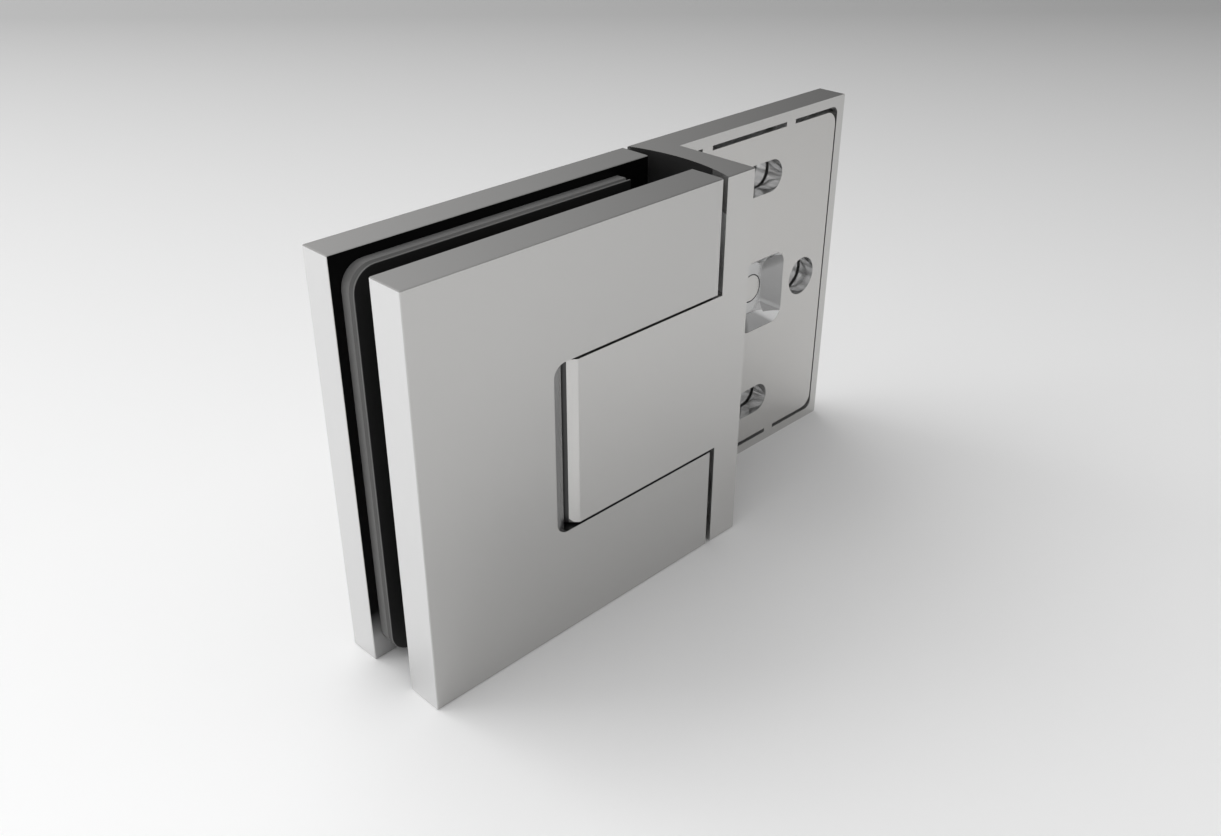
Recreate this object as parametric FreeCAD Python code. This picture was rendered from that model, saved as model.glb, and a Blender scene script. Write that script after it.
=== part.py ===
"""Glass door hinge: a wall leaf with a pivot tongue, and a two-plate clamp for the glass.

X runs from the glass to the wall, Y from front to rear and Z upwards. Every sub-part is
drawn about the pivot axis (x = 0, y = 0) and stored about the middle of the bottom edge.
"""
import FreeCAD
import Part
import math
import os

# Overall sizes, in millimetres
height = 90.0
front_plate_t = 8.6
glass_gap = 12.4
rear_plate_t = 7.7
clamp_reach_left = 50.0
clamp_reach_right = 30.0
edge_break = 0.2

# Wall leaf: leg with a hollow arc, wall plate and tongue
joint_gap = 1.35
leg_arc_r = 42.5
band_w = 8.65
wall_plate_len = 60.4
wall_plate_t = 7.7
shoulder_h = 26.15
knuckle_r = 18.0

# Notch in the clamp plates around the tongue
tongue_gap = 0.6
knuckle_gap = 0.3
notch_reach = 17.2
notch_bevel_deg = 20.0
swing_gap = 0.15
notch_corner_r = 3.0

# Pocket in the wall plate and the fixing plate that lies in it
rim_z = 2.45
rim_right = 2.6
rim_left = 1.2
rim_corner_r = 2.0
pocket_floor_t = 2.55
plate_gap_y = 1.0
plate_gap_z = 1.1
plate_gap_x = 0.5
plate_corner_r = 3.4
nub_w = 3.4
nub_from_leg = 9.15
nub_from_end = 21.1

# Wall screw slots, round hole and the recesses for screw heads behind them
slot_r = 4.0
slot_travel = 12.0
slot_from_end = 33.3
slot_from_edge = 14.6
hole_r = 5.0
hole_from_end = 12.0
head_recess_floor_t = 1.15
head_recess_gap = 0.1

# Tapered pocket in the boss of the fixing plate, and its clamp screw
taper_w = 16.0
taper_h = 19.0
taper_inset_w = 4.0
taper_inset_h = 2.8
taper_depth = 3.9
taper_corner_r = 3.5
taper_floor_r = 3.0
taper_from_end = 27.75
boss_floor_t = 1.1
boss_gap = 0.3
plate_screw_r = 3.5
plate_screw_gap = 0.3

# Gaskets and the cut-out in the glass
front_gasket_t = 2.4
rear_gasket_t = 4.0
gasket_inset = 2.1
gasket_right = 20.7
gasket_corner_r = 5.0
cutout_left = 32.0
cutout_from_edge = 10.0
cutout_corner_r = 4.0

# Pivot
pin_r = 4.0
pin_recess = 1.05
pin_running_gap = 0.03
bush_wall = 1.5
bush_to_spring = 3.75
fit_gap = 0.02
washer_t = 1.0
washer_r = 5.6
block_half_w = 13.0
block_h = 14.0

# Spring that holds the door shut, on two flats of the pin
flat_half = 3.2
flat_over_spring = 1.0
spring_t = 1.0
spring_half_h = 4.5
spring_tail = 4.5
spring_leaf_len = 13.0
spring_gap = 0.15
spring_tail_gap = 1.5
plug_gap = 0.1
plug_recess = 1.0

# Screws
clamp_screw_r = 3.0
clamp_head_r = 6.0
clamp_head_h = 3.3
clamp_thread_len = 6.0
clamp_left_inset = 6.0
clamp_right_x = 21.5
clamp_inset_z = 7.0
sleeve_wall = 1.9
screw_gap = 0.1
block_screw_r = 2.0
block_head_r = 4.0
block_head_h = 2.2
block_screw_x = 9.0
block_screw_z = 4.5
block_screw_bite = 9.5
pin_grub_r = 2.5
pin_grub_z = 10.0
pin_grub_seat = 3.5
pin_grub_recess = 2.0
leaf_grub_r = 1.5
leaf_grub_recess = 0.3
socket_share = 0.5

# How far a cut runs past a face, how round a pocket's floor may be, and what counts as equal
cut_over = 1.0
corner_share = 0.8
tiny = 1e-6

# Planes worked out from the sizes above
depth = front_plate_t + glass_gap + rear_plate_t
y_front = -depth / 2
y_front_in = y_front + front_plate_t
y_rear = depth / 2
y_rear_in = y_rear - rear_plate_t
y_wall = y_rear - wall_plate_t
z_mid = height / 2
leg_left = clamp_reach_right + joint_gap
leg_right = leg_left + band_w
leaf_end = leg_right + wall_plate_len
origin_x = (leaf_end - clamp_reach_left) / 2

# Sizes that follow from their neighbours
tongue_top = z_mid - shoulder_h
notch_top = tongue_top + tongue_gap
cutout_half_h = z_mid - cutout_from_edge
pocket_depth = wall_plate_t - pocket_floor_t
fixing_plate_t = pocket_depth - plate_gap_y
boss_depth = wall_plate_t - boss_floor_t
block_foot = tongue_top + washer_t
pin_half_len = block_foot + block_h - pin_recess
flat_half_h = spring_half_h + flat_over_spring
spring_bore_r = math.hypot(spring_half_h, flat_half + spring_t) + spring_gap
spring_bore_blind = spring_tail + spring_tail_gap
bush_len = tongue_top - spring_bore_r - bush_to_spring


def vec(x, y, z):
    """A point or a direction."""
    return FreeCAD.Vector(x, y, z)


def block(x0, x1, y0, y1, z0, z1):
    """A box between two corners."""
    return Part.makeBox(x1 - x0, y1 - y0, z1 - z0, vec(x0, y0, z0))


def rod_z(radius, z0, z1):
    """A round bar on the pivot axis."""
    return Part.makeCylinder(radius, z1 - z0, vec(0, 0, z0), vec(0, 0, 1))


def rod_y(radius, x, z, y0, y1):
    """A round bar that runs from front to rear."""
    return Part.makeCylinder(radius, y1 - y0, vec(x, y0, z), vec(0, 1, 0))


def rod_x(radius, x0, x1, z):
    """A round bar that runs across the hinge at the pivot's depth."""
    return Part.makeCylinder(radius, x1 - x0, vec(x0, 0, z), vec(1, 0, 0))


def slab(x0, x1, y0, y1, z0, z1, radius, side="both"):
    """A plate that faces front, with round corners on both ends or on one."""
    plate = block(x0, x1, y0, y1, z0, z1)
    middle = (x0 + x1) / 2
    corners = []
    for edge in plate.Edges:
        start = edge.Vertexes[0].Point
        end = edge.Vertexes[1].Point
        along_y = abs(end.y - start.y) > (y1 - y0) / 2
        wanted = side == "both" or start.x < middle
        if along_y and wanted:
            corners.append(edge)
    return plate.makeFillet(radius, corners)


def frustum_y(x, z, mouth, floor):
    """A pocket that narrows from its mouth to its floor, with round corners."""
    ends = []
    for y, w, h, corner_r in (mouth, floor):
        r = min(corner_r, corner_share * w, corner_share * h)
        ends.append(rounded_wire(x, z, y, w, h, r))
    return Part.makeLoft(ends, True, True)


def rounded_wire(x, z, y, w, h, r):
    """A rectangle with round corners in the plane at depth y."""
    k = r * (1 - math.sqrt(0.5))
    edges = []
    for sx, sz in ((1, 1), (-1, 1), (-1, -1), (1, -1)):
        side_end = vec(x + sx * w, y, z + sz * (h - r))
        bend = vec(x + sx * (w - k), y, z + sz * (h - k))
        top_end = vec(x + sx * (w - r), y, z + sz * h)
        first, last = (side_end, top_end) if sx * sz > 0 else (top_end, side_end)
        if edges:
            edges.append(Part.LineSegment(edges[-1].EndPoint, first))
        edges.append(Part.Arc(first, bend, last))
    edges.append(Part.LineSegment(edges[-1].EndPoint, edges[0].StartPoint))
    return Part.Wire([edge.toShape() for edge in edges])


def countersunk_screw(radius, head_r, head_h, x, z, y_tip):
    """A flat-headed screw, flush with the rear face, with a hexagon socket."""
    shank = rod_y(radius, x, z, y_tip, y_rear)
    head = Part.makeCone(radius, head_r, head_h, vec(x, y_rear - head_h, z), vec(0, 1, 0))
    socket = hexagon(radius, vec(x, y_rear - head_h, z), vec(0, head_h, 0))
    return shank.fuse(head).cut(socket)


def countersunk_hole(radius, head_r, head_h, x, z):
    """The hole in the rear plate for such a screw."""
    shank = rod_y(radius + screw_gap, x, z, y_rear_in, y_rear)
    head = Part.makeCone(radius + screw_gap, head_r + screw_gap, head_h,
                         vec(x, y_rear - head_h, z), vec(0, 1, 0))
    return shank.fuse(head)


def hexagon(radius, foot, rise):
    """A six-sided bar along rise: the socket of a screw with this shank radius."""
    side = vec(0, 0, 1) if abs(rise.z) < tiny else vec(1, 0, 0)
    third = rise.cross(side)
    third.normalize()
    r = radius * socket_share * 2 / math.sqrt(3)
    points = []
    for i in range(6):
        a = math.pi / 3 * i
        points.append(foot + side * (r * math.cos(a)) + third * (r * math.sin(a)))
    return Part.Face(Part.makePolygon(points + points[:1])).extrude(rise)


def broken_edges(solid, planes):
    """Chamfer the straight edges that lie in two of the given planes."""
    chosen = []
    for edge in solid.Edges:
        if len(edge.Vertexes) != 2 or not isinstance(edge.Curve, Part.Line):
            continue
        ends = [vertex.Point for vertex in edge.Vertexes]
        touched = 0
        for axis, value in planes:
            if all(abs(getattr(p, axis) - value) < tiny for p in ends):
                touched += 1
        if touched == 2:
            chosen.append(edge)
    return solid.makeChamfer(edge_break, chosen)


def wall_screw_cuts(y0, y1, extra):
    """The two slots and the round hole of the fixing plate, between two depths."""
    right = leaf_end - slot_from_end + slot_travel / 2
    left = right - slot_travel
    r = slot_r + extra
    cuts = [rod_y(hole_r + extra, leaf_end - hole_from_end, z_mid, y0, y1)]
    for z in (slot_from_edge, height - slot_from_edge):
        middle = block(left, right, y0, y1, z - r, z + r)
        cuts.append(middle.fuse([rod_y(r, left, z, y0, y1), rod_y(r, right, z, y0, y1)]))
    return cuts


def nub_centres():
    """Where the locating nubs of the fixing plate stand."""
    return (leg_right + nub_from_leg, leaf_end - nub_from_end)


def tongue():
    """The tongue, flush front and rear, with its round knuckle end."""
    z0 = z_mid - tongue_top
    z1 = z_mid + tongue_top
    web = block(0, leg_left + band_w / 2, y_front, y_rear, z0, z1)
    knuckle = rod_z(knuckle_r, z0, z1)
    knuckle = knuckle.common(block(-knuckle_r, knuckle_r, y_front, y_rear, z0, z1))
    return web.fuse(knuckle)


def leaf_blank():
    """The solid leaf: leg with its hollow arc, wall plate and tongue."""
    leg = block(clamp_reach_right, leg_right, y_front, y_rear, 0, height)
    wall_plate = block(clamp_reach_right, leaf_end, y_wall, y_rear, 0, height)
    arc_x = leg_left - math.sqrt(leg_arc_r ** 2 - (depth / 2) ** 2)
    hollow = rod_z(leg_arc_r, -cut_over, height + cut_over)
    hollow.translate(vec(arc_x, 0, 0))
    body = leg.fuse(wall_plate).removeSplitter().cut(hollow)
    body = broken_edges(body, (("z", 0), ("z", height), ("x", leg_right), ("x", leaf_end),
                               ("y", y_front), ("y", y_rear)))
    return body.fuse(tongue()).removeSplitter()


def pivot_bores():
    """The bore for pin and bushes, and the bore for the spring from the wall side."""
    bush_r = pin_r + pin_running_gap + bush_wall + fit_gap
    pin_bore = rod_z(bush_r, z_mid - tongue_top - cut_over, z_mid + tongue_top + cut_over)
    spring_bore = rod_x(spring_bore_r, -spring_bore_blind, leg_right + cut_over, z_mid)
    return [pin_bore, spring_bore]


def plate_pocket():
    """The pocket of the fixing plate, with room for its boss and for screw heads."""
    y_floor = y_wall + pocket_depth
    x = leaf_end - taper_from_end
    w = taper_w / 2 + boss_gap
    h = taper_h / 2 + boss_gap
    pocket = slab(leg_right + rim_left, leaf_end - rim_right, y_wall - cut_over, y_floor,
                  rim_z, height - rim_z, rim_corner_r)
    boss_room = slab(x - w, x + w, y_floor - cut_over, y_wall + boss_depth,
                     z_mid - h, z_mid + h, taper_corner_r)
    head_rooms = wall_screw_cuts(y_floor - cut_over, y_rear - head_recess_floor_t,
                                 head_recess_gap)
    return [pocket, boss_room] + head_rooms


def leaf_grub_holes():
    """Two holes in the lower rim for the screws that press on the nubs."""
    y = y_wall + fixing_plate_t / 2
    holes = []
    for x in nub_centres():
        holes.append(Part.makeCylinder(leaf_grub_r + fit_gap, rim_z + 2 * cut_over,
                                       vec(x, y, -cut_over)))
    return holes


def wall_leaf():
    """Leg, wall plate and tongue in one piece."""
    return leaf_blank().cut(pivot_bores()).cut(plate_pocket()).cut(leaf_grub_holes())


def fixing_plate():
    """The plate that is screwed to the wall, with nubs, slots and a tapered pocket."""
    x0 = leg_right + rim_left + plate_gap_x
    x1 = leaf_end - rim_right - plate_gap_x
    z0 = rim_z + plate_gap_z
    z1 = height - z0
    y_back = y_wall + fixing_plate_t
    plate = slab(x0, x1, y_wall, y_back, z0, z1, plate_corner_r)
    for x in nub_centres():
        for z in (rim_z, z1 - plate_gap_z):
            nub = block(x - nub_w / 2, x + nub_w / 2, y_wall, y_back,
                        z, z + 2 * plate_gap_z)
            plate = plate.fuse(nub)
    x = leaf_end - taper_from_end
    boss = slab(x - taper_w / 2, x + taper_w / 2, y_back, y_wall + boss_depth,
                z_mid - taper_h / 2, z_mid + taper_h / 2, taper_corner_r)
    plate = plate.fuse(boss).removeSplitter()
    plate = plate.cut(wall_screw_cuts(y_wall - cut_over, y_back + cut_over, 0))
    mouth = (y_wall, taper_w / 2, taper_h / 2, taper_corner_r)
    floor = (y_wall + taper_depth, taper_w / 2 - taper_inset_w,
             taper_h / 2 - taper_inset_h, taper_floor_r)
    plate = plate.cut(frustum_y(x, z_mid, mouth, floor))
    thread = rod_y(plate_screw_r + plate_screw_gap, x, z_mid, y_wall, y_rear)
    return plate.cut(thread)


def plate_clamp_screw():
    """The round screw that lies flush in the floor of the tapered pocket."""
    x = leaf_end - taper_from_end
    y_head = y_wall + taper_depth
    return rod_y(plate_screw_r, x, z_mid, y_head, y_wall + boss_depth)


def leaf_grub_screws():
    """Two headless screws in the lower rim that press on the lower nubs."""
    screws = []
    y = y_wall + fixing_plate_t / 2
    for x in nub_centres():
        body = Part.makeCylinder(leaf_grub_r, rim_z - leaf_grub_recess,
                                 vec(x, y, leaf_grub_recess))
        socket = hexagon(leaf_grub_r, vec(x, y, leaf_grub_recess), vec(0, 0, leaf_grub_r))
        screws.append(body.cut(socket))
    return Part.makeCompound(screws)


def clamp_plate(y_out, y_in):
    """A glass clamp plate with the notch that the tongue passes through."""
    y0 = min(y_out, y_in)
    y1 = max(y_out, y_in)
    plate = block(-clamp_reach_left, clamp_reach_right, y0, y1, 0, height)
    plate = broken_edges(plate, (("x", -clamp_reach_left), ("x", clamp_reach_right),
                                 ("z", 0), ("z", height), ("y", y0), ("y", y1)))
    z0 = z_mid - notch_top
    z1 = z_mid + notch_top
    lip_x = -(depth / 2 + swing_gap)
    notch = rod_z(knuckle_r + knuckle_gap, z0, z1)
    notch = notch.fuse(block(lip_x, clamp_reach_right + cut_over, -depth, depth, z0, z1))
    return plate.cut(notch).cut(notch_bevel(y_out, lip_x, z0, z1))


def notch_bevel(y_out, lip_x, z0, z1):
    """The sloping face outside the lip at the closed end, with round outer corners."""
    slope = math.tan(math.radians(notch_bevel_deg))
    inward = 1 if y_out < 0 else -1
    x1 = lip_x + notch_corner_r
    y1 = y_out + inward * (x1 + notch_reach) * slope
    points = [vec(-notch_reach, y_out, z0), vec(x1, y1, z0), vec(x1, y_out, z0)]
    wedge = Part.Face(Part.makePolygon(points + points[:1])).extrude(vec(0, 0, z1 - z0))
    outline = slab(-notch_reach, x1 + notch_corner_r, min(y_out, y1), max(y_out, y1),
                   z0, z1, notch_corner_r, "left")
    return wedge.common(outline)


def clamp_screw_places():
    """Where the screws join the two clamp plates through the cut-out in the glass."""
    places = []
    for sign in (-1, 1):
        z = z_mid + sign * (cutout_half_h - clamp_inset_z)
        places.append((clamp_left_inset - cutout_left, z))
        places.append((clamp_right_x, z))
    return places


def block_screw_places():
    """Where the screws hold the pin blocks on the rear plate."""
    places = []
    for sign in (-1, 1):
        z = z_mid + sign * (block_foot + block_screw_z)
        places.append((-block_screw_x, z))
        places.append((block_screw_x, z))
    return places


def front_clamp_plate():
    """The front plate, with blind threaded holes for the clamp screws."""
    plate = clamp_plate(y_front, y_front_in)
    holes = []
    for x, z in clamp_screw_places():
        holes.append(rod_y(clamp_screw_r + fit_gap, x, z,
                           y_front_in - clamp_thread_len, y_front_in + cut_over))
    return plate.cut(holes)


def rear_clamp_plate():
    """The rear plate, with countersunk holes for the clamp and block screws."""
    plate = clamp_plate(y_rear, y_rear_in)
    holes = []
    for x, z in clamp_screw_places():
        holes.append(countersunk_hole(clamp_screw_r, clamp_head_r, clamp_head_h, x, z))
    for x, z in block_screw_places():
        holes.append(countersunk_hole(block_screw_r, block_head_r, block_head_h, x, z))
    return plate.cut(holes)


def gasket(y0, y1):
    """A soft pad that follows the cut-out in the glass."""
    pad = slab(-clamp_reach_left + gasket_inset, gasket_right, y0, y1,
               gasket_inset, height - gasket_inset, gasket_corner_r, "left")
    cutout = slab(-cutout_left, gasket_right + gasket_corner_r, y0, y1,
                  z_mid - cutout_half_h, z_mid + cutout_half_h, cutout_corner_r, "left")
    return pad.cut(cutout)


def front_gasket():
    """The thin pad behind the front plate."""
    return gasket(y_front_in, y_front_in + front_gasket_t)


def rear_gasket():
    """The thick pad in front of the rear plate."""
    return gasket(y_rear_in - rear_gasket_t, y_rear_in)


def clamp_screws():
    """Four screws that pull the clamp plates together."""
    y_tip = y_front_in - clamp_thread_len + screw_gap
    return Part.makeCompound([countersunk_screw(clamp_screw_r, clamp_head_r, clamp_head_h,
                                                x, z, y_tip)
                              for x, z in clamp_screw_places()])


def screw_sleeves():
    """Plastic sleeves that keep the glass off the clamp screws."""
    sleeves = []
    for x, z in clamp_screw_places():
        tube = rod_y(clamp_screw_r + screw_gap + sleeve_wall, x, z, y_front_in, y_rear_in)
        sleeves.append(tube.cut(rod_y(clamp_screw_r + screw_gap, x, z,
                                      y_front_in, y_rear_in)))
    return Part.makeCompound(sleeves)


def pin_block(sign):
    """A block that grips one end of the pivot pin between the clamp plates."""
    near = z_mid + sign * block_foot
    far = near + sign * block_h
    z0 = min(near, far)
    z1 = max(near, far)
    body = block(-block_half_w, block_half_w, y_front_in, y_rear_in, z0, z1)
    body = body.cut(rod_z(pin_r + fit_gap, z0 - cut_over, z1 + cut_over))
    body = body.cut(rod_x(pin_grub_r + fit_gap, 0, block_half_w + cut_over,
                          near + sign * pin_grub_z))
    for x, z in block_screw_places():
        if z0 < z < z1:
            body = body.cut(rod_y(block_screw_r + fit_gap, x, z,
                                  y_rear_in - block_screw_bite, y_rear_in + cut_over))
    return body


def upper_pin_block():
    """The block above the tongue."""
    return pin_block(1)


def lower_pin_block():
    """The block below the tongue."""
    return pin_block(-1)


def block_screws():
    """Four screws that hold the pin blocks."""
    y_tip = y_rear_in - block_screw_bite + screw_gap
    return Part.makeCompound([countersunk_screw(block_screw_r, block_head_r, block_head_h,
                                                x, z, y_tip)
                              for x, z in block_screw_places()])


def pin_end_edges(pin):
    """The round edges at both ends of the pin."""
    chosen = []
    for edge in pin.Edges:
        level = edge.BoundBox.ZLength < tiny
        from_end = pin_half_len - abs(edge.CenterOfMass.z - z_mid)
        if level and abs(from_end) < tiny:
            chosen.append(edge)
    return chosen


def pivot_pin():
    """The pin, with two flats for the spring and a seat for each grub screw."""
    pin = rod_z(pin_r, z_mid - pin_half_len, z_mid + pin_half_len)
    pin = pin.makeChamfer(edge_break, pin_end_edges(pin))
    for sign in (-1, 1):
        y0 = min(sign * flat_half, sign * (pin_r + cut_over))
        y1 = max(sign * flat_half, sign * (pin_r + cut_over))
        pin = pin.cut(block(-pin_r, pin_r, y0, y1,
                            z_mid - flat_half_h, z_mid + flat_half_h))
        z = z_mid + sign * (block_foot + pin_grub_z)
        pin = pin.cut(block(pin_grub_seat, pin_r + cut_over, -pin_r, pin_r,
                            z - pin_grub_r, z + pin_grub_r))
    return pin


def bush(sign):
    """A plain bearing bush pressed into one end of the knuckle."""
    outer = z_mid + sign * tongue_top
    inner = outer - sign * bush_len
    z0 = min(outer, inner)
    z1 = max(outer, inner)
    bore_r = pin_r + pin_running_gap
    return rod_z(bore_r + bush_wall, z0, z1).cut(rod_z(bore_r, z0, z1))


def upper_bush():
    """The bush at the top of the knuckle."""
    return bush(1)


def lower_bush():
    """The bush at the foot of the knuckle."""
    return bush(-1)


def thrust_washer(z0):
    """A washer that carries the door's weight between knuckle and pin block."""
    bore_r = pin_r + pin_running_gap
    return rod_z(washer_r, z0, z0 + washer_t).cut(rod_z(bore_r, z0, z0 + washer_t))


def upper_thrust_washer():
    """The washer above the tongue."""
    return thrust_washer(z_mid + tongue_top)


def lower_thrust_washer():
    """The washer below the tongue."""
    return thrust_washer(z_mid - block_foot)


def pin_grub_screws():
    """Two headless screws that clamp the pin in its blocks and set the shut position."""
    screws = []
    x_end = block_half_w - pin_grub_recess
    for sign in (-1, 1):
        z = z_mid + sign * (block_foot + pin_grub_z)
        body = rod_x(pin_grub_r, pin_grub_seat, x_end, z)
        socket = hexagon(pin_grub_r, vec(x_end - pin_grub_r, 0, z), vec(pin_grub_r, 0, 0))
        screws.append(body.cut(socket))
    return Part.makeCompound(screws)


def hairpin(half_width):
    """A bar along the spring's arms, with a round end at the spring's bend."""
    z0 = z_mid - spring_half_h
    z1 = z_mid + spring_half_h
    arms = block(-spring_tail, spring_leaf_len, -half_width, half_width, z0, z1)
    bend = rod_z(half_width, z0, z1)
    bend.translate(vec(spring_leaf_len, 0, 0))
    return arms.fuse(bend)


def detent_spring():
    """A bent leaf spring whose two arms lie on the flats of the pin."""
    return hairpin(flat_half + spring_t).cut(hairpin(flat_half))


def spring_plug():
    """The threaded plug that closes the spring's bore from the wall side."""
    x0 = spring_leaf_len + flat_half + spring_t
    x1 = leg_right - plug_recess
    body = rod_x(spring_bore_r - plug_gap, x0, x1, z_mid)
    socket = hexagon(spring_bore_r, vec(x1 - spring_bore_r, 0, z_mid),
                     vec(spring_bore_r, 0, 0))
    return body.cut(socket)


sub_parts = (wall_leaf, fixing_plate, plate_clamp_screw, leaf_grub_screws,
             front_clamp_plate, rear_clamp_plate, front_gasket, rear_gasket,
             clamp_screws, screw_sleeves, upper_pin_block, lower_pin_block, block_screws,
             pivot_pin, upper_bush, lower_bush, upper_thrust_washer, lower_thrust_washer,
             pin_grub_screws, detent_spring, spring_plug)

os.makedirs("parts", exist_ok=True)
for make in sub_parts:
    shape = make()
    shape.translate(vec(-origin_x, 0, 0))
    shape.exportStep("parts/" + make.__name__ + ".step")
    print(make.__name__, len(shape.Solids), shape.isValid(), round(shape.Volume, 1))
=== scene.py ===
# %% [markdown]
# # A glass door hinge in satin nickel
#
# The hinge has a wall leaf with a thick tongue, and a clamp of two square plates that grips the
# glass door and turns round the tongue. Its shape is already modelled as solids. This lesson gives
# every surface its finish, models both gaskets again with finer edges, and lights the hinge like a
# small product on a studio table.

# %% Load the frame
import math

import bpy
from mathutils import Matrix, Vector


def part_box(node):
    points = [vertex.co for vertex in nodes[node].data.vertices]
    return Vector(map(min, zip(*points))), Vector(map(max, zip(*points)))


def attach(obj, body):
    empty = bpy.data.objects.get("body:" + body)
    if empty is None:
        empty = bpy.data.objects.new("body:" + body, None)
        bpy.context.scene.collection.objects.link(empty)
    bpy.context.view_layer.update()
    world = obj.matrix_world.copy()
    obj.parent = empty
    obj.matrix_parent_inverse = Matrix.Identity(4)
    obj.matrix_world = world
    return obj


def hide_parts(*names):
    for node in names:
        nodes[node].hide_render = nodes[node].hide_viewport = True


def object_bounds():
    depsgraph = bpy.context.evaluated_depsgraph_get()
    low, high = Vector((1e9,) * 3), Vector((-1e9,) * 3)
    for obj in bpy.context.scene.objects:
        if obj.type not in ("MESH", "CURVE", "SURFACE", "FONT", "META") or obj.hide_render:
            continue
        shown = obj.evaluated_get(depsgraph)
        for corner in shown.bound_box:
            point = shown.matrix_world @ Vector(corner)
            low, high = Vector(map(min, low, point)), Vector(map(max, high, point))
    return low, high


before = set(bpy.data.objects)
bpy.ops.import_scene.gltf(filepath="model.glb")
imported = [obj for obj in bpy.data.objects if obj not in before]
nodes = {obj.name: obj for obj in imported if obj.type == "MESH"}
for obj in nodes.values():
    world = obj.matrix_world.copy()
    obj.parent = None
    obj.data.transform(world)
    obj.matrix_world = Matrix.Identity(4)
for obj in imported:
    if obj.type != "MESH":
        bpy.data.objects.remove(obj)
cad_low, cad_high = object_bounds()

print("nodes", len(nodes), "box", [round(v, 4) for v in cad_high - cad_low])

# %% [markdown]
# ## Places read from the frame
#
# Many finishes below begin or end at a face of a piece. Those places could be typed in as numbers,
# but they are worked out from the boxes of the nodes, so that they stay right if a size of the
# hinge changes. All lengths are in metres.

# %% Places of the main pieces
front_low, front_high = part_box("front_clamp_plate")
rear_low, rear_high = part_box("rear_clamp_plate")
pin_low, pin_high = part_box("pivot_pin")
pivot_x = (pin_low.x + pin_high.x) / 2
middle_z = (cad_low.z + cad_high.z) / 2
print("gap between plates", round(rear_low.y - front_high.y, 5), "pivot x", round(pivot_x, 5))

# %% [markdown]
# ## Camera
#
# The photo looks down on the hinge from the front left. A camera could be moved by eye until the
# picture looks right. The place and the angles below come from a camera fitted to the corners of the
# hinge in the photo, which also gives the hinge its proportions. The photo is 1221 by 836 pixels, so
# the focal length in pixels becomes a lens on a 36 mm sensor.

# %% Camera at the photo's angle
photo_width = 1221
focal_pixels = 1207.25
sensor_width = 36.0
camera_place = Vector((-0.17669, -0.16464, 0.16887))
camera_azimuth = -44.77
camera_elevation = 29.83
camera_roll = -0.11
nearest_seen = 0.01
furthest_seen = 20.0


def add_camera():
    """A camera that looks along the photo's line of sight."""
    data = bpy.data.cameras.new("camera")
    data.sensor_width = sensor_width
    data.lens = focal_pixels * sensor_width / photo_width
    data.clip_start = nearest_seen
    data.clip_end = furthest_seen
    camera = bpy.data.objects.new("camera", data)
    bpy.context.scene.collection.objects.link(camera)
    camera.location = camera_place
    tilt = math.radians(90 - camera_elevation)
    camera.rotation_euler = (tilt, math.radians(camera_roll), math.radians(camera_azimuth))
    bpy.context.scene.camera = camera
    return camera


camera = add_camera()
print("lens", round(camera.data.lens, 3))

# %% [markdown]
# ## Helpers for node trees
#
# A material is a small graph of nodes. These helpers add a node with its values set and join two
# sockets, so that the recipes further down read like a list of steps.

# %% Node helpers
def add_node(tree, kind, **values):
    """Add a node and set its inputs by name, or else its properties."""
    node = tree.nodes.new(kind)
    for name, value in values.items():
        if name in node.inputs:
            node.inputs[name].default_value = value
        else:
            setattr(node, name, value)
    return node


def join(tree, source, target):
    """Run a wire from an output socket to an input socket."""
    tree.links.new(source, target)


def new_material(name):
    """An empty material with its output node."""
    material = bpy.data.materials.new(name)
    material.use_nodes = True
    tree = material.node_tree
    tree.nodes.clear()
    output = add_node(tree, "ShaderNodeOutputMaterial")
    return material, tree, output


print("helpers", [helper.__name__ for helper in (add_node, join, new_material)])

# %% [markdown]
# ## Fine grain, shared by all surfaces
#
# Satin nickel is brushed before plating. Seen close, the surface has very fine marks, and the colour
# changes a little from place to place. Rubber and plastic have a fine skin of the same kind. A
# picture of scratches could give that, but two noise textures on Object coordinates do it without
# one: a fine one for the marks, and a wide one for the slow change. The group puts out values only,
# and each material decides how strongly to use them.

# %% Group for grain and slow change
fine_grain = 900.0
slow_change = 18.0


def build_grain_group():
    """Fine grain and a slow change, from the place on the piece."""
    group = bpy.data.node_groups.new("satin_grain", "ShaderNodeTree")
    make = group.interface.new_socket
    make(name="Grain Scale", in_out="INPUT", socket_type="NodeSocketFloat").default_value = fine_grain
    make(name="Patch Scale", in_out="INPUT", socket_type="NodeSocketFloat").default_value = slow_change
    make(name="Grain", in_out="OUTPUT", socket_type="NodeSocketFloat")
    make(name="Patches", in_out="OUTPUT", socket_type="NodeSocketFloat")
    inlet = add_node(group, "NodeGroupInput")
    outlet = add_node(group, "NodeGroupOutput")
    place = add_node(group, "ShaderNodeTexCoord")
    grain = add_node(group, "ShaderNodeTexNoise", Detail=3.0, Roughness=0.6)
    patches = add_node(group, "ShaderNodeTexNoise", Detail=2.0, Roughness=0.5)
    results = ((grain, "Grain Scale", "Grain"), (patches, "Patch Scale", "Patches"))
    for texture, scale, result in results:
        join(group, place.outputs["Object"], texture.inputs["Vector"])
        join(group, inlet.outputs[scale], texture.inputs["Scale"])
        join(group, texture.outputs["Fac"], outlet.inputs[result])
    return group


grain_group = build_grain_group()
print("group", grain_group.name)

# %% [markdown]
# ## A box as a mask
#
# Some faces of a piece are painted dark, as painted shade, and the rest is not: the insides of the
# plates, the walls of the notches and the inner side of the gasket. Faces could be picked by hand
# and given a second material, but the meshes of the solids stay as they came. Each of these faces
# lies in a simple box, so a group can tell from the place alone whether a point belongs to it.
#
# Along each axis the group takes the smaller of the distances to the two ends of the box, and the
# point is inside when all three are above zero. Fade is the height over which the mask comes in from
# the bottom of the box.

# %% Group that tells whether a point lies in a box
sharp = 0.000001


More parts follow.
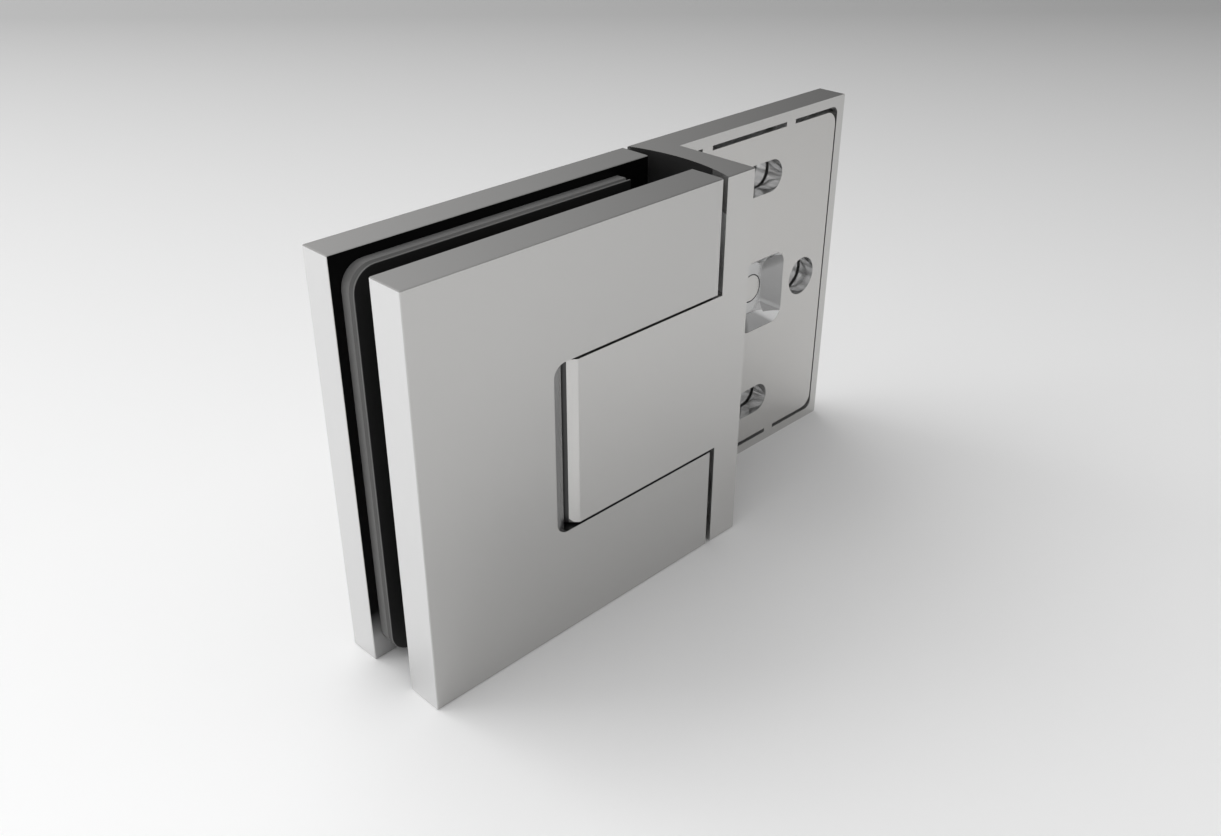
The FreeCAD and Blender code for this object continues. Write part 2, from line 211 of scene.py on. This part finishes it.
def build_box_group():
    """One inside the box between Low and High, and zero outside."""
    group = bpy.data.node_groups.new("inside_box", "ShaderNodeTree")
    make = group.interface.new_socket
    make(name="Low", in_out="INPUT", socket_type="NodeSocketVector")
    make(name="High", in_out="INPUT", socket_type="NodeSocketVector")
    make(name="Fade", in_out="INPUT", socket_type="NodeSocketFloat").default_value = sharp
    make(name="Inside", in_out="OUTPUT", socket_type="NodeSocketFloat")
    inlet = add_node(group, "NodeGroupInput")
    outlet = add_node(group, "NodeGroupOutput")
    place = add_node(group, "ShaderNodeTexCoord")
    from_low = add_node(group, "ShaderNodeVectorMath", operation="SUBTRACT")
    to_high = add_node(group, "ShaderNodeVectorMath", operation="SUBTRACT")
    nearer = add_node(group, "ShaderNodeVectorMath", operation="MINIMUM")
    distances = add_node(group, "ShaderNodeSeparateXYZ")
    least_xy = add_node(group, "ShaderNodeMath", operation="MINIMUM")
    least = add_node(group, "ShaderNodeMath", operation="MINIMUM")
    inside = add_node(group, "ShaderNodeMath", operation="GREATER_THAN")
    inside.inputs[1].default_value = 0.0
    heights = add_node(group, "ShaderNodeSeparateXYZ")
    rise = add_node(group, "ShaderNodeMath", operation="DIVIDE", use_clamp=True)
    mask = add_node(group, "ShaderNodeMath", operation="MULTIPLY")
    wires = (
        (place.outputs["Object"], from_low.inputs[0]),
        (inlet.outputs["Low"], from_low.inputs[1]),
        (inlet.outputs["High"], to_high.inputs[0]),
        (place.outputs["Object"], to_high.inputs[1]),
        (from_low.outputs["Vector"], nearer.inputs[0]),
        (to_high.outputs["Vector"], nearer.inputs[1]),
        (nearer.outputs["Vector"], distances.inputs["Vector"]),
        (distances.outputs["X"], least_xy.inputs[0]),
        (distances.outputs["Y"], least_xy.inputs[1]),
        (least_xy.outputs["Value"], least.inputs[0]),
        (distances.outputs["Z"], least.inputs[1]),
        (least.outputs["Value"], inside.inputs[0]),
        (from_low.outputs["Vector"], heights.inputs["Vector"]),
        (heights.outputs["Z"], rise.inputs[0]),
        (inlet.outputs["Fade"], rise.inputs[1]),
        (inside.outputs["Value"], mask.inputs[0]),
        (rise.outputs["Value"], mask.inputs[1]),
        (mask.outputs["Value"], outlet.inputs["Inside"]),
    )
    for source, target in wires:
        join(group, source, target)
    return group


box_group = build_box_group()
print("group", box_group.name)

# %% [markdown]
# ## Regions
#
# A region is a box with the grey and the roughness that a piece has inside it. Most of these greys
# are painted shade, painted light or painted reflection. Most regions are open on some sides, which
# means that they reach far past the piece there. A region behind an outer face begins a hair behind
# it, so that the face itself stays bare nickel. Where two regions of a piece share a point, the later
# one covers the earlier one, like coats of paint.

# %% Regions and how they go onto a surface
far = 1.0
hair = 0.00005
open_low = (-far, -far, -far)
open_high = (far, far, far)


def region(low, high, grey, roughness, fade=sharp):
    """A box in which a piece has this grey and roughness."""
    return low, high, grey, roughness, fade


def lay_painted_regions(tree, colour, gloss, regions):
    """Lay each region, with its painted grey, over the colour and the gloss, and hand on both."""
    for low, high, grey, roughness, fade in regions:
        mask = add_node(tree, "ShaderNodeGroup", node_tree=box_group)
        mask.inputs["Low"].default_value = low
        mask.inputs["High"].default_value = high
        mask.inputs["Fade"].default_value = fade
        shade = add_node(tree, "ShaderNodeMix", data_type="RGBA")
        shade.inputs["B"].default_value = (grey, grey, grey, 1)
        dull = add_node(tree, "ShaderNodeMix", data_type="FLOAT")
        dull.inputs["B"].default_value = roughness
        join(tree, mask.outputs["Inside"], shade.inputs["Factor"])
        join(tree, mask.outputs["Inside"], dull.inputs["Factor"])
        join(tree, colour, shade.inputs["A"])
        join(tree, gloss, dull.inputs["A"])
        colour = shade.outputs["Result"]
        gloss = dull.outputs["Result"]
    return colour, gloss


print("a region behind an outer face begins", hair * 1000, "mm behind it")

# %% [markdown]
# ## Inner faces and left ends of the plates
#
# The inner faces of both plates are painted matt black, as painted shade between the plates, which
# mirrors nothing of the gasket beside it. At the foot of the rear plate the photo shows this as a
# dull grey that gets lighter downwards, so there a grey region comes first and the painted shade
# fades in over it. The left ends of both plates are painted a little lighter than their faces, as
# painted light from the left.

# %% Regions of both plates
# Painted shade: the black of the inner faces stands for the shade between the plates.
painted_shade_grey = 0.008
painted_shade_rough = 0.45
foot_grey = 0.50
foot_rough = 0.40
foot_fade_start = 0.0055
foot_fade = 0.0065
# Painted light: the left ends are painted lighter than the faces.
painted_light_end_grey = 0.73
end_rough = 0.12
front_inside = (-far, front_high.y - hair, -far)
rear_inside = (far, rear_low.y + hair, far)
fade_low = (-far, -far, foot_fade_start)

painted_lit_left_ends = region(open_low, (cad_low.x + hair, far, far), painted_light_end_grey, end_rough)
front_painted_shade = region(front_inside, open_high, painted_shade_grey, painted_shade_rough)
rear_foot = region(open_low, rear_inside, foot_grey, foot_rough)
rear_painted_shade = region(fade_low, rear_inside, painted_shade_grey, painted_shade_rough, foot_fade)
# The painted shade between the plates begins and ends at these y.
print("painted shade begins at y", round(front_inside[1], 5), "and ends at y", round(rear_inside[1], 5))

# %% [markdown]
# ## Notches and tongue
#
# Each plate is notched round the tongue. The walls of the notch are painted dark, as painted shade,
# and the bevel that leads into it is a lighter grey, a painted dim reflection that is still darker
# than the nickel. The bevel reaches further to the left than the walls, so its region comes first and
# the walls cover the rest. The round end of the tongue lies in the notch, and the side of it that
# faces the notch's wall is painted as dark as the wall, as painted shade.

# %% Regions of the notches and the tongue's end
washer_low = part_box("upper_thrust_washer")[0]
notch_play = 0.0006
notch_half_height = washer_low.z - middle_z + notch_play
notch_bottom = middle_z - notch_half_height - hair
notch_top = middle_z + notch_half_height + hair
bevel_reach = 0.0172
wall_reach = 0.0145
# Painted shade on the walls and the tongue's end, and a painted dim reflection on the bevel.
bevel_dim_reflection_grey = 0.30
bevel_rough = 0.20
wall_shade_grey = 0.07
wall_rough = 0.30
tongue_end_reach = 0.0126
tongue_half_depth = 0.0129


def notch_region(reach, y_low, y_high, grey, roughness):
    """The part of a notch that lies up to this far left of the pivot."""
    low = (pivot_x - reach - hair, y_low, notch_bottom)
    high = (far, y_high, notch_top)
    return region(low, high, grey, roughness)


front_bevel = notch_region(bevel_reach, front_low.y + hair, far, bevel_dim_reflection_grey, bevel_rough)
rear_bevel = notch_region(bevel_reach, -far, rear_high.y - hair, bevel_dim_reflection_grey, bevel_rough)
front_walls = notch_region(wall_reach, front_low.y + hair, far, wall_shade_grey, wall_rough)
rear_walls = notch_region(wall_reach, -far, rear_high.y - hair, wall_shade_grey, wall_rough)
tongue_end_low = (-far, -tongue_half_depth, -far)
tongue_end_high = (pivot_x - tongue_end_reach, tongue_half_depth, far)
tongue_end = region(tongue_end_low, tongue_end_high, wall_shade_grey, wall_rough)
print("notch from", round(notch_bottom, 4), "to", round(notch_top, 4))

# %% [markdown]
# ## Leg and joint
#
# The leg of the leaf has a hollow face that the clamp's right end turns past. It is painted dark
# behind the gap between the plates, as painted shade. Next to the front plate, above the notch, it
# shows only as a thin line in the joint between clamp and leg. Little light gets in there, so its
# grey is painted lighter, as painted light, which brings the line near the tone that the photo shows.

# %% Regions of the leg
leg_start = 0.0305
leg_end = 0.0340
leg_overlap = 0.0030
# Painted shade on the hollow face, and painted light in the joint.
leg_shade_grey = 0.12
joint_drop = 0.0080
joint_painted_light_grey = 0.92
joint_rough = 0.40
leg_front = front_high.y - leg_overlap
leg_low = (pivot_x + leg_start, leg_front, cad_low.z + hair)
leg_high = (pivot_x + leg_end, cad_high.y - hair, cad_high.z - hair)
joint_low = (pivot_x + leg_start, cad_low.y + hair, notch_top)
joint_high = (pivot_x + leg_end, leg_front, cad_high.z - joint_drop)

leg_face = region(leg_low, leg_high, leg_shade_grey, wall_rough)
joint_face = region(joint_low, joint_high, joint_painted_light_grey, joint_rough)
print("leg region", round(leg_end - leg_start, 4), "wide, joint up to z", round(joint_high[2], 4))

# %% [markdown]
# ## Screw holes and the pocket of the fixing plate
#
# The fixing plate lies in a pocket of the leaf and has three screw holes. The walls of the holes and
# of the pocket are duller than the faces. In the photo they mirror pale things that aren't in this
# room, so they also get a light grey.

# %% Regions of the holes and the pocket
fixing_low, fixing_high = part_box("fixing_plate")
fixing_inside = fixing_low.y + hair
hole_grey = 0.86
hole_rough = 0.15
pocket_low = (fixing_low.x - hair, fixing_inside, fixing_low.z - hair)
pocket_high = (fixing_high.x + hair, cad_high.y - hair, fixing_high.z + hair)

hole_walls = region((-far, fixing_inside, -far), open_high, hole_grey, hole_rough)
pocket_walls = region(pocket_low, pocket_high, hole_grey, hole_rough)
print("pocket depth", round(pocket_high[1] - pocket_low[1], 4))

# %% [markdown]
# ## Tapered pocket
#
# In the middle of the fixing plate is a small pocket with sloping sides. Each slope mirrors another
# part of the room, and that is painted into its grey. The upper and the lower slope are light and
# dull in the photo, so they get a painted reflection, and the right one is darker, so it gets painted
# shade. The whole pocket gets its grey first, and the slopes are laid over it.

# %% Regions of the tapered pocket
nickel_gloss = 0.12
taper_from_right = 0.02775
taper_half_width = 0.0082
taper_half_height = 0.0096
floor_half_width = 0.0040
floor_half_height = 0.0068
right_slope_below = 0.0072
right_slope_above = 0.0084
taper_grey = 0.58
# Painted reflection on the upper and lower slopes, and painted shade on the right one.
slope_painted_reflection_grey = 0.85
slope_rough = 0.35
right_slope_shade_grey = 0.40

taper_x = cad_high.x - taper_from_right
taper_left = taper_x - taper_half_width
taper_right = taper_x + taper_half_width
taper_low = (taper_left, fixing_inside, middle_z - taper_half_height)
taper_high = (taper_right, far, middle_z + taper_half_height)
upper_slope_low = (taper_left, fixing_inside, middle_z + floor_half_height)
lower_slope_high = (taper_right, far, middle_z - floor_half_height)
right_slope_low = (taper_x + floor_half_width, fixing_inside, middle_z - right_slope_below)
right_slope_high = (taper_right, far, middle_z + right_slope_above)

taper_walls = region(taper_low, taper_high, taper_grey, nickel_gloss)
upper_slope = region(upper_slope_low, taper_high, slope_painted_reflection_grey, slope_rough)
lower_slope = region(taper_low, lower_slope_high, slope_painted_reflection_grey, slope_rough)
right_slope = region(right_slope_low, right_slope_high, right_slope_shade_grey, nickel_gloss)
print("tapered pocket about x", round(taper_x, 5))

# %% [markdown]
# The round end of a screw lies flush in the floor of the pocket. The gap round it shows as a thin
# dark ring. Bare metal on the side of the screw would mirror light back out of the gap, so that side
# is painted almost black, as painted shade in the gap.

# %% Region of the round screw end
screw_low, screw_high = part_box("plate_clamp_screw")
# Painted shade: the side of the screw is painted almost black.
screw_gap_shade_grey = 0.02
screw_side_rough = 0.5
screw_side = region((-far, screw_low.y + hair, -far), open_high, screw_gap_shade_grey, screw_side_rough)
print("screw end", round(screw_high.x - screw_low.x, 4), "wide")

# %% [markdown]
# ## One recipe for every surface
#
# Every material is made in the same way. The colour goes a little lighter and darker with the slow
# change, the gloss follows the grain, and a low bump catches the light on the marks. The regions are
# laid over colour and gloss at the end. What differs between metal, rubber and plastic are numbers,
# so there is one function, and the numbers for the marks come in a small table. Height is how deep
# the marks are, and bump is how much of that shows.

# %% Recipe for a surface
def surface(name, colour, roughness, marks, metallic=0.0, regions=()):
    """A material of this colour and roughness, with fine marks and its regions."""
    material, tree, output = new_material(name)
    shader = add_node(tree, "ShaderNodeBsdfPrincipled", Metallic=metallic)
    grain = add_node(tree, "ShaderNodeGroup", node_tree=grain_group)
    grain.inputs["Grain Scale"].default_value = marks["scale"]
    gloss = add_node(tree, "ShaderNodeMapRange")
    gloss.inputs["To Min"].default_value = roughness - marks["spread"]
    gloss.inputs["To Max"].default_value = roughness + marks["spread"]
    shade = add_node(tree, "ShaderNodeMix", data_type="RGBA")
    shade.inputs["A"].default_value = (*[c * (1 - marks["tint"]) for c in colour], 1)
    shade.inputs["B"].default_value = (*[c * (1 + marks["tint"]) for c in colour], 1)
    relief = add_node(tree, "ShaderNodeBump", Strength=marks["bump"], Distance=marks["height"])
    join(tree, grain.outputs["Grain"], gloss.inputs["Value"])
    join(tree, grain.outputs["Patches"], shade.inputs["Factor"])
    join(tree, grain.outputs["Grain"], relief.inputs["Height"])
    colour_out, gloss_out = lay_painted_regions(tree, shade.outputs["Result"], gloss.outputs["Result"], regions)
    join(tree, colour_out, shader.inputs["Base Color"])
    join(tree, gloss_out, shader.inputs["Roughness"])
    join(tree, relief.outputs["Normal"], shader.inputs["Normal"])
    join(tree, shader.outputs["BSDF"], output.inputs["Surface"])
    return material


metal_marks = {"scale": fine_grain, "spread": 0.015, "tint": 0.02, "bump": 0.004, "height": 0.00002}
soft_marks = {"scale": 1500.0, "spread": 0.06, "tint": 0.12, "bump": 0.15, "height": 0.00005}
print("marks", metal_marks, soft_marks)

# %% [markdown]
# ## Satin nickel
#
# The plates, the leaf and the fixing plate are plated with nickel, and the greys of the three differ
# a little in the photo. A fully metallic surface shows only what stands round it. Satin plating also
# scatters some light, so a small share of the shader is not metallic.

# %% Nickel of each piece
leaf_colour = (0.625, 0.619, 0.608)
plate_colour = (0.58, 0.575, 0.566)
fixing_colour = (0.635, 0.626, 0.612)
nickel_share = 0.85


def nickel(name, colour, *regions):
    """Satin nickel of this colour with its regions."""
    return surface(name, colour, nickel_gloss, metal_marks, nickel_share, regions)


leaf_nickel = nickel("leaf_nickel", leaf_colour, tongue_end, leg_face, joint_face, pocket_walls)
front_nickel = nickel("front_plate_nickel", plate_colour,
                      painted_lit_left_ends, front_painted_shade, front_bevel, front_walls)
rear_nickel = nickel("rear_plate_nickel", plate_colour,
                     painted_lit_left_ends, rear_foot, rear_painted_shade, rear_bevel, rear_walls)
fixing_nickel = nickel("fixing_nickel", fixing_colour,
                       hole_walls, taper_walls, upper_slope, lower_slope, right_slope)
screw_nickel = nickel("screw_nickel", fixing_colour, screw_side)
print("nickel", leaf_nickel.name, front_nickel.name, rear_nickel.name, fixing_nickel.name)

# %% [markdown]
# ## Other metals
#
# The parts inside the hinge are bare metal: steel screws and pin, brass blocks, bronze bushes and a
# blued spring. They hardly show when the door is shut, but each keeps its own colour, so that the
# hinge looks right when someone takes it apart.

# %% Bare metals
def bare_metal(name, colour, roughness):
    """A fully metallic surface with fine marks."""
    return surface(name, colour, roughness, metal_marks, metallic=1.0)


steel = bare_metal("screw_steel", (0.56, 0.56, 0.57), 0.22)
brass = bare_metal("turned_brass", (0.72, 0.52, 0.24), 0.28)
bronze = bare_metal("bush_bronze", (0.50, 0.32, 0.15), 0.40)
spring_steel = bare_metal("spring_steel", (0.30, 0.31, 0.35), 0.30)
print("bare metals", steel.name, brass.name, bronze.name, spring_steel.name)

# %% [markdown]
# ## Rubber and plastic
#
# The gaskets are soft pads with a dull skin. The rear one is grey round its rim, and the inner face
# towards the glass looks black in the shade between the plates, so it gets a region of its own. The
# sleeves and washers are moulded plastic.

# %% Rubbers and plastics
rear_gasket_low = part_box("rear_gasket")[0]
rubber_rough = 0.6
pad_face_grey = 0.008
pad_face_high = (far, rear_gasket_low.y + hair, far)
pad_face = region(open_low, pad_face_high, pad_face_grey, rubber_rough)
grey_rubber = surface("grey_gasket_rubber", (0.15, 0.149, 0.147), rubber_rough, soft_marks,
                      regions=(pad_face,))
black_rubber = surface("black_gasket_rubber", (0.015, 0.015, 0.015), rubber_rough, soft_marks)
sleeve_plastic = surface("sleeve_plastic", (0.45, 0.45, 0.44), 0.45, soft_marks)
washer_plastic = surface("washer_plastic", (0.78, 0.78, 0.75), 0.4, soft_marks)
print("soft", grey_rubber.name, black_rubber.name, sleeve_plastic.name, washer_plastic.name)

# %% [markdown]
# ## Gaskets
#
# The rear gasket is a moulded pad, 4 mm thick, that follows the cut-out in the glass like a square
# letter C. Between the plates its edge shows a rounded rim and a narrow groove that lets the rim
# give way when the glass is clamped. It could be a curve with a section swept along it, but its
# faces are flat and its corners are few. So it starts as a bar, the two arms are pulled out of the
# bar, and the corners are rounded. The front gasket is made the same way, thinner and without a
# groove.

# %% Places on the gaskets and ways to select
cutout_reach = 0.032
cutout_from_edge = 0.010
cutout_left = pivot_x - cutout_reach
cutout_bottom = cad_low.z + cutout_from_edge
cutout_top = cad_high.z - cutout_from_edge
near = 0.00001


def pick(piece, kind, wanted):
    """In edit mode, select the faces, edges or vertices for which wanted is true."""
    bpy.ops.mesh.select_mode(type=kind)
    bpy.ops.mesh.select_all(action="DESELECT")
    bpy.ops.object.mode_set(mode="OBJECT")
    mesh = piece.data
    parts = {"FACE": mesh.polygons, "EDGE": mesh.edges, "VERT": mesh.vertices}[kind]
    for part in parts:
        part.select = wanted(mesh, part)
    bpy.ops.object.mode_set(mode="EDIT")


def is_at(value, place):
    """True when a length is at this place, but for rounding."""
    return abs(value - place) < near


print("cut-out from", round(cutout_bottom, 4), "to", round(cutout_top, 4))

# %% [markdown]
# The bar is the closed side of the C. It is cut across at the edges of the cut-out, and the end
# faces above and below it are pulled out into arms.

# %% Bar and arms
facing = 0.9


def start_gasket(name, low, high):
    """The bar of a gasket with its two arms, in square corners."""
    bpy.ops.object.select_all(action="DESELECT")
    middle = ((low.x + cutout_left) / 2, (low.y + high.y) / 2, (low.z + high.z) / 2)
    bpy.ops.mesh.primitive_cube_add(size=1.0, location=middle)
    piece = bpy.context.object
    piece.name = name
    piece.scale = (cutout_left - low.x, high.y - low.y, high.z - low.z)
    bpy.ops.object.transform_apply(location=True, rotation=True, scale=True)
    bpy.ops.object.mode_set(mode="EDIT")
    for height in (cutout_bottom, cutout_top):
        bpy.ops.mesh.select_all(action="SELECT")
        bpy.ops.mesh.bisect(plane_co=(0, 0, height), plane_no=(0, 0, 1))

    def is_arm_start(mesh, face):
        past_cutout = face.center.z > cutout_top or face.center.z < cutout_bottom
        return face.normal.x > facing and past_cutout

    pick(piece, "FACE", is_arm_start)
    arm = (high.x - cutout_left, 0, 0)
    bpy.ops.mesh.extrude_region_move(TRANSFORM_OT_translate={"value": arm})
    return piece


print("a face looks right when its normal's x is above", facing)

# %% [markdown]
# An edge that runs through the thickness of the pad is a corner of its outline. The two on the left
# get the outer radius and the two at the cut-out get the inner one. For the groove the pad is cut by
# three planes close together, and the line between the outer two is pulled in.

# %% Corners and groove
outer_corner = 0.005
inner_corner = 0.004
corner_steps = 8


def round_corners(piece, x, heights, radius):
    """Round the corners of the outline at this place."""
    def is_corner(mesh, edge):
        ends = [mesh.vertices[i].co for i in edge.vertices]
        along_y = abs(ends[0].y - ends[1].y) > near
        in_place = is_at(ends[0].x, x) and any(is_at(ends[0].z, z) for z in heights)
        return along_y and in_place

    pick(piece, "EDGE", is_corner)
    bpy.ops.mesh.bevel(offset=radius, offset_type="OFFSET", segments=corner_steps, affect="EDGES")


def cut_groove(piece, middle, half_width, depth):
    """Cut a narrow groove round the edge of the pad, with its bottom at this y."""
    for y in (middle - half_width, middle, middle + half_width):
        bpy.ops.mesh.select_all(action="SELECT")
        bpy.ops.mesh.bisect(plane_co=(0, y, 0), plane_no=(0, 1, 0))
    pick(piece, "VERT", lambda mesh, vertex: is_at(vertex.co.y, middle))
    bpy.ops.transform.shrink_fatten(value=-depth)


print("corners", outer_corner, inner_corner, "in", corner_steps, "steps")

# %% [markdown]
# The rim is rounded last, by a Bevel modifier that takes every edge sharper than a set angle. Then
# the gasket rides on the clamp, so that it turns with the door.

# %% Rounded rim
rim_round = 0.00025
rim_steps = 3
rim_angle = math.radians(60)
smooth_angle = math.radians(35)


def close_gasket(piece):
    """Round the rims, tidy the mesh and hand the gasket to the frame."""
    bpy.ops.mesh.select_all(action="SELECT")
    bpy.ops.mesh.remove_doubles(threshold=near)
    bpy.ops.mesh.normals_make_consistent(inside=False)
    bpy.ops.object.mode_set(mode="OBJECT")
    rim = piece.modifiers.new("rim", "BEVEL")
    rim.width = rim_round
    rim.segments = rim_steps
    rim.limit_method = "ANGLE"
    rim.angle_limit = rim_angle
    bpy.ops.object.modifier_apply(modifier=rim.name)
    bpy.ops.object.shade_smooth_by_angle(angle=smooth_angle)
    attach(piece, "glass_clamp")


print("rim", rim_round * 1000, "mm round")

# %% [markdown]
# The groove of the rear gasket lies just behind its inner face, which is where the photo shows a
# thin dark line round the pad.

# %% Rear and front gasket
groove_from_face = 0.0009
groove_half_width = 0.0006
groove_depth = 0.0009


def make_gasket(name, node, material, groove):
    """A gasket in the place of the solid, with or without a groove."""
    low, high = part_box(node)
    piece = start_gasket(name, low, high)
    round_corners(piece, low.x, (low.z, high.z), outer_corner)
    round_corners(piece, cutout_left, (cutout_bottom, cutout_top), inner_corner)
    if groove:
        cut_groove(piece, low.y + groove_from_face, groove_half_width, groove_depth)
    close_gasket(piece)
    piece.data.materials.append(material)
    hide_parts(node)
    return piece


rear_pad = make_gasket("rear_pad", "rear_gasket", grey_rubber, groove=True)
front_pad = make_gasket("front_pad", "front_gasket", black_rubber, groove=False)
print("faces", len(rear_pad.data.polygons), len(front_pad.data.polygons))

# %% [markdown]
# ## Finishes onto the pieces
#
# The solids keep their shape. Each one only gets its finish in its material slot. A table from node
# to finish is easier to check than a call for each node.

# %% Give each node its finish
finish_of = {
    "wall_leaf": leaf_nickel,
    "front_clamp_plate": front_nickel,
    "rear_clamp_plate": rear_nickel,
    "fixing_plate": fixing_nickel,
    "plate_clamp_screw": screw_nickel,
    "leaf_grub_screws": steel,
    "clamp_screws": steel,
    "block_screws": steel,
    "pin_grub_screws": steel,
    "spring_plug": steel,
    "pivot_pin": steel,
    "upper_pin_block": brass,
    "lower_pin_block": brass,
    "upper_bush": bronze,
    "lower_bush": bronze,
    "detent_spring": spring_steel,
    "front_gasket": black_rubber,
    "rear_gasket": grey_rubber,
    "screw_sleeves": sleeve_plastic,
    "upper_thrust_washer": washer_plastic,
    "lower_thrust_washer": washer_plastic,
}
for name, material in finish_of.items():
    nodes[name].data.materials.clear()
    nodes[name].data.materials.append(material)
print("finished", len(finish_of), "of", len(nodes))

# %% [markdown]
# ## Table
#
# The hinge stands on a wide pale table. Its colour is painted almost white under the hinge and
# greyer towards the back and the right, a painted falloff of the light as on a studio sweep. The
# sweep could be modelled as a curved sheet, but no bend shows in the photo, so a flat plane with a
# painted change of grey does. The grey depends on how far a point lies in one direction, which a dot
# product gives.

# %% Table
table_half = 3.0
table_rough = 0.9
table_shine = 0.0
# Painted light: the grey of the table falls off along this direction.
falloff_direction = (0.68, 0.735, 0.0)
lit_near_grey = 0.96
dim_far_grey = 0.43
near_reach = -0.10
far_reach = 0.60


def add_table():
    """A wide flat table under the hinge."""
    bpy.ops.object.select_all(action="DESELECT")
    bpy.ops.mesh.primitive_plane_add(size=2 * table_half, location=(0, 0, cad_low.z))
    table = bpy.context.object
    table.name = "table"
    material, tree, output = new_material("table_painted_falloff")
    shader = add_node(tree, "ShaderNodeBsdfPrincipled", Roughness=table_rough)
    shader.inputs["Specular IOR Level"].default_value = table_shine
    place = add_node(tree, "ShaderNodeTexCoord")
    reach = add_node(tree, "ShaderNodeVectorMath", operation="DOT_PRODUCT")
    reach.inputs[1].default_value = falloff_direction
    grey = add_node(tree, "ShaderNodeMapRange")
    grey.inputs["From Min"].default_value = near_reach
    grey.inputs["From Max"].default_value = far_reach
    grey.inputs["To Min"].default_value = lit_near_grey
    grey.inputs["To Max"].default_value = dim_far_grey
    join(tree, place.outputs["Object"], reach.inputs[0])
    join(tree, reach.outputs["Value"], grey.inputs["Value"])
    join(tree, grey.outputs["Result"], shader.inputs["Base Color"])
    join(tree, shader.outputs["BSDF"], output.inputs["Surface"])
    table.data.materials.append(material)
    return table


table = add_table()
print("table", [round(v, 2) for v in table.dimensions[:2]])

# %% [markdown]
# ## Lamps
#
# Large soft lamps hang above the hinge, behind it and on its left, so that the shadow falls softly to
# the front and the right. One big lamp would be simpler, but several together come closer to the
# tones of the floor and the shadow in the photo. A small lamp stands low on the left, where it
# brightens the left ends of the plates. It is the only one that the metal mirrors, because the fine
# chamfers of the plates would show a big one as a white line, and the photo has none.

# %% Lamps
lamps = {
    "top_lamp": (Vector((0.0, 0.0, 1.30)), 2.0, 8.7),
    "far_back_lamp": (Vector((-0.70, 1.10, 0.75)), 1.2, 8.1),
    "back_lamp": (Vector((0.10, 0.90, 0.90)), 1.2, 5.1),
    "left_lamp": (Vector((-1.00, 0.0, 0.80)), 1.5, 3.2),
    "low_lamp": (Vector((-0.75, 0.25, 0.40)), 0.8, 1.2),
}
lamp_target = Vector((0.0, 0.0, 0.0))
mirrored_lamp = "low_lamp"


def add_lamp(name, place, size, power):
    """A square soft lamp that faces the target."""
    data = bpy.data.lights.new(name, "AREA")
    data.size = size
    data.energy = power
    lamp = bpy.data.objects.new(name, data)
    bpy.context.scene.collection.objects.link(lamp)
    lamp.location = place
    lamp.rotation_euler = (lamp_target - place).to_track_quat("-Z", "Y").to_euler()
    return lamp


for name, (place, size, power) in lamps.items():
    lamp = add_lamp(name, place, size, power)
    lamp.visible_glossy = name == mirrored_lamp
print("lamps", list(lamps), "mirrored", mirrored_lamp)

# %% [markdown]
# ## Room
#
# The room adds an even grey to the light. Polished metal shows what stands round it, so in
# reflections the room is bright on the left and gets dark towards the right, which is what the top
# faces of the hinge mirror in the photo. Walls could be built for that, but a ramp along the
# direction of the mirrored ray is simpler. Light Path tells such rays from the others.

# %% World
room_strength = 1.0
fill_grey = 0.21
left_grey = 0.60
right_grey = 0.055
ramp_left = 0.34
ramp_right = 0.84


def add_world():
    """An even grey room, which reflections show bright on the left and dark on the right."""
    world = bpy.data.worlds.new("room")
    bpy.context.scene.world = world
    world.use_nodes = True
    tree = world.node_tree
    background = tree.nodes["Background"]
    background.inputs["Strength"].default_value = room_strength
    direction = add_node(tree, "ShaderNodeTexCoord")
    parts = add_node(tree, "ShaderNodeSeparateXYZ")
    brightness = add_node(tree, "ShaderNodeMapRange")
    brightness.inputs["From Min"].default_value = ramp_left
    brightness.inputs["From Max"].default_value = ramp_right
    brightness.inputs["To Min"].default_value = left_grey
    brightness.inputs["To Max"].default_value = right_grey
    ray = add_node(tree, "ShaderNodeLightPath")
    seen = add_node(tree, "ShaderNodeMix", data_type="RGBA")
    seen.inputs["A"].default_value = (fill_grey, fill_grey, fill_grey, 1)
    join(tree, direction.outputs["Generated"], parts.inputs["Vector"])
    join(tree, parts.outputs["X"], brightness.inputs["Value"])
    join(tree, ray.outputs["Is Glossy Ray"], seen.inputs["Factor"])
    join(tree, brightness.outputs["Result"], seen.inputs["B"])
    join(tree, seen.outputs["Result"], background.inputs["Color"])
    return world


world = add_world()
bpy.context.scene.view_settings.view_transform = "Standard"
print("world", world.name, "view", bpy.context.scene.view_settings.view_transform)
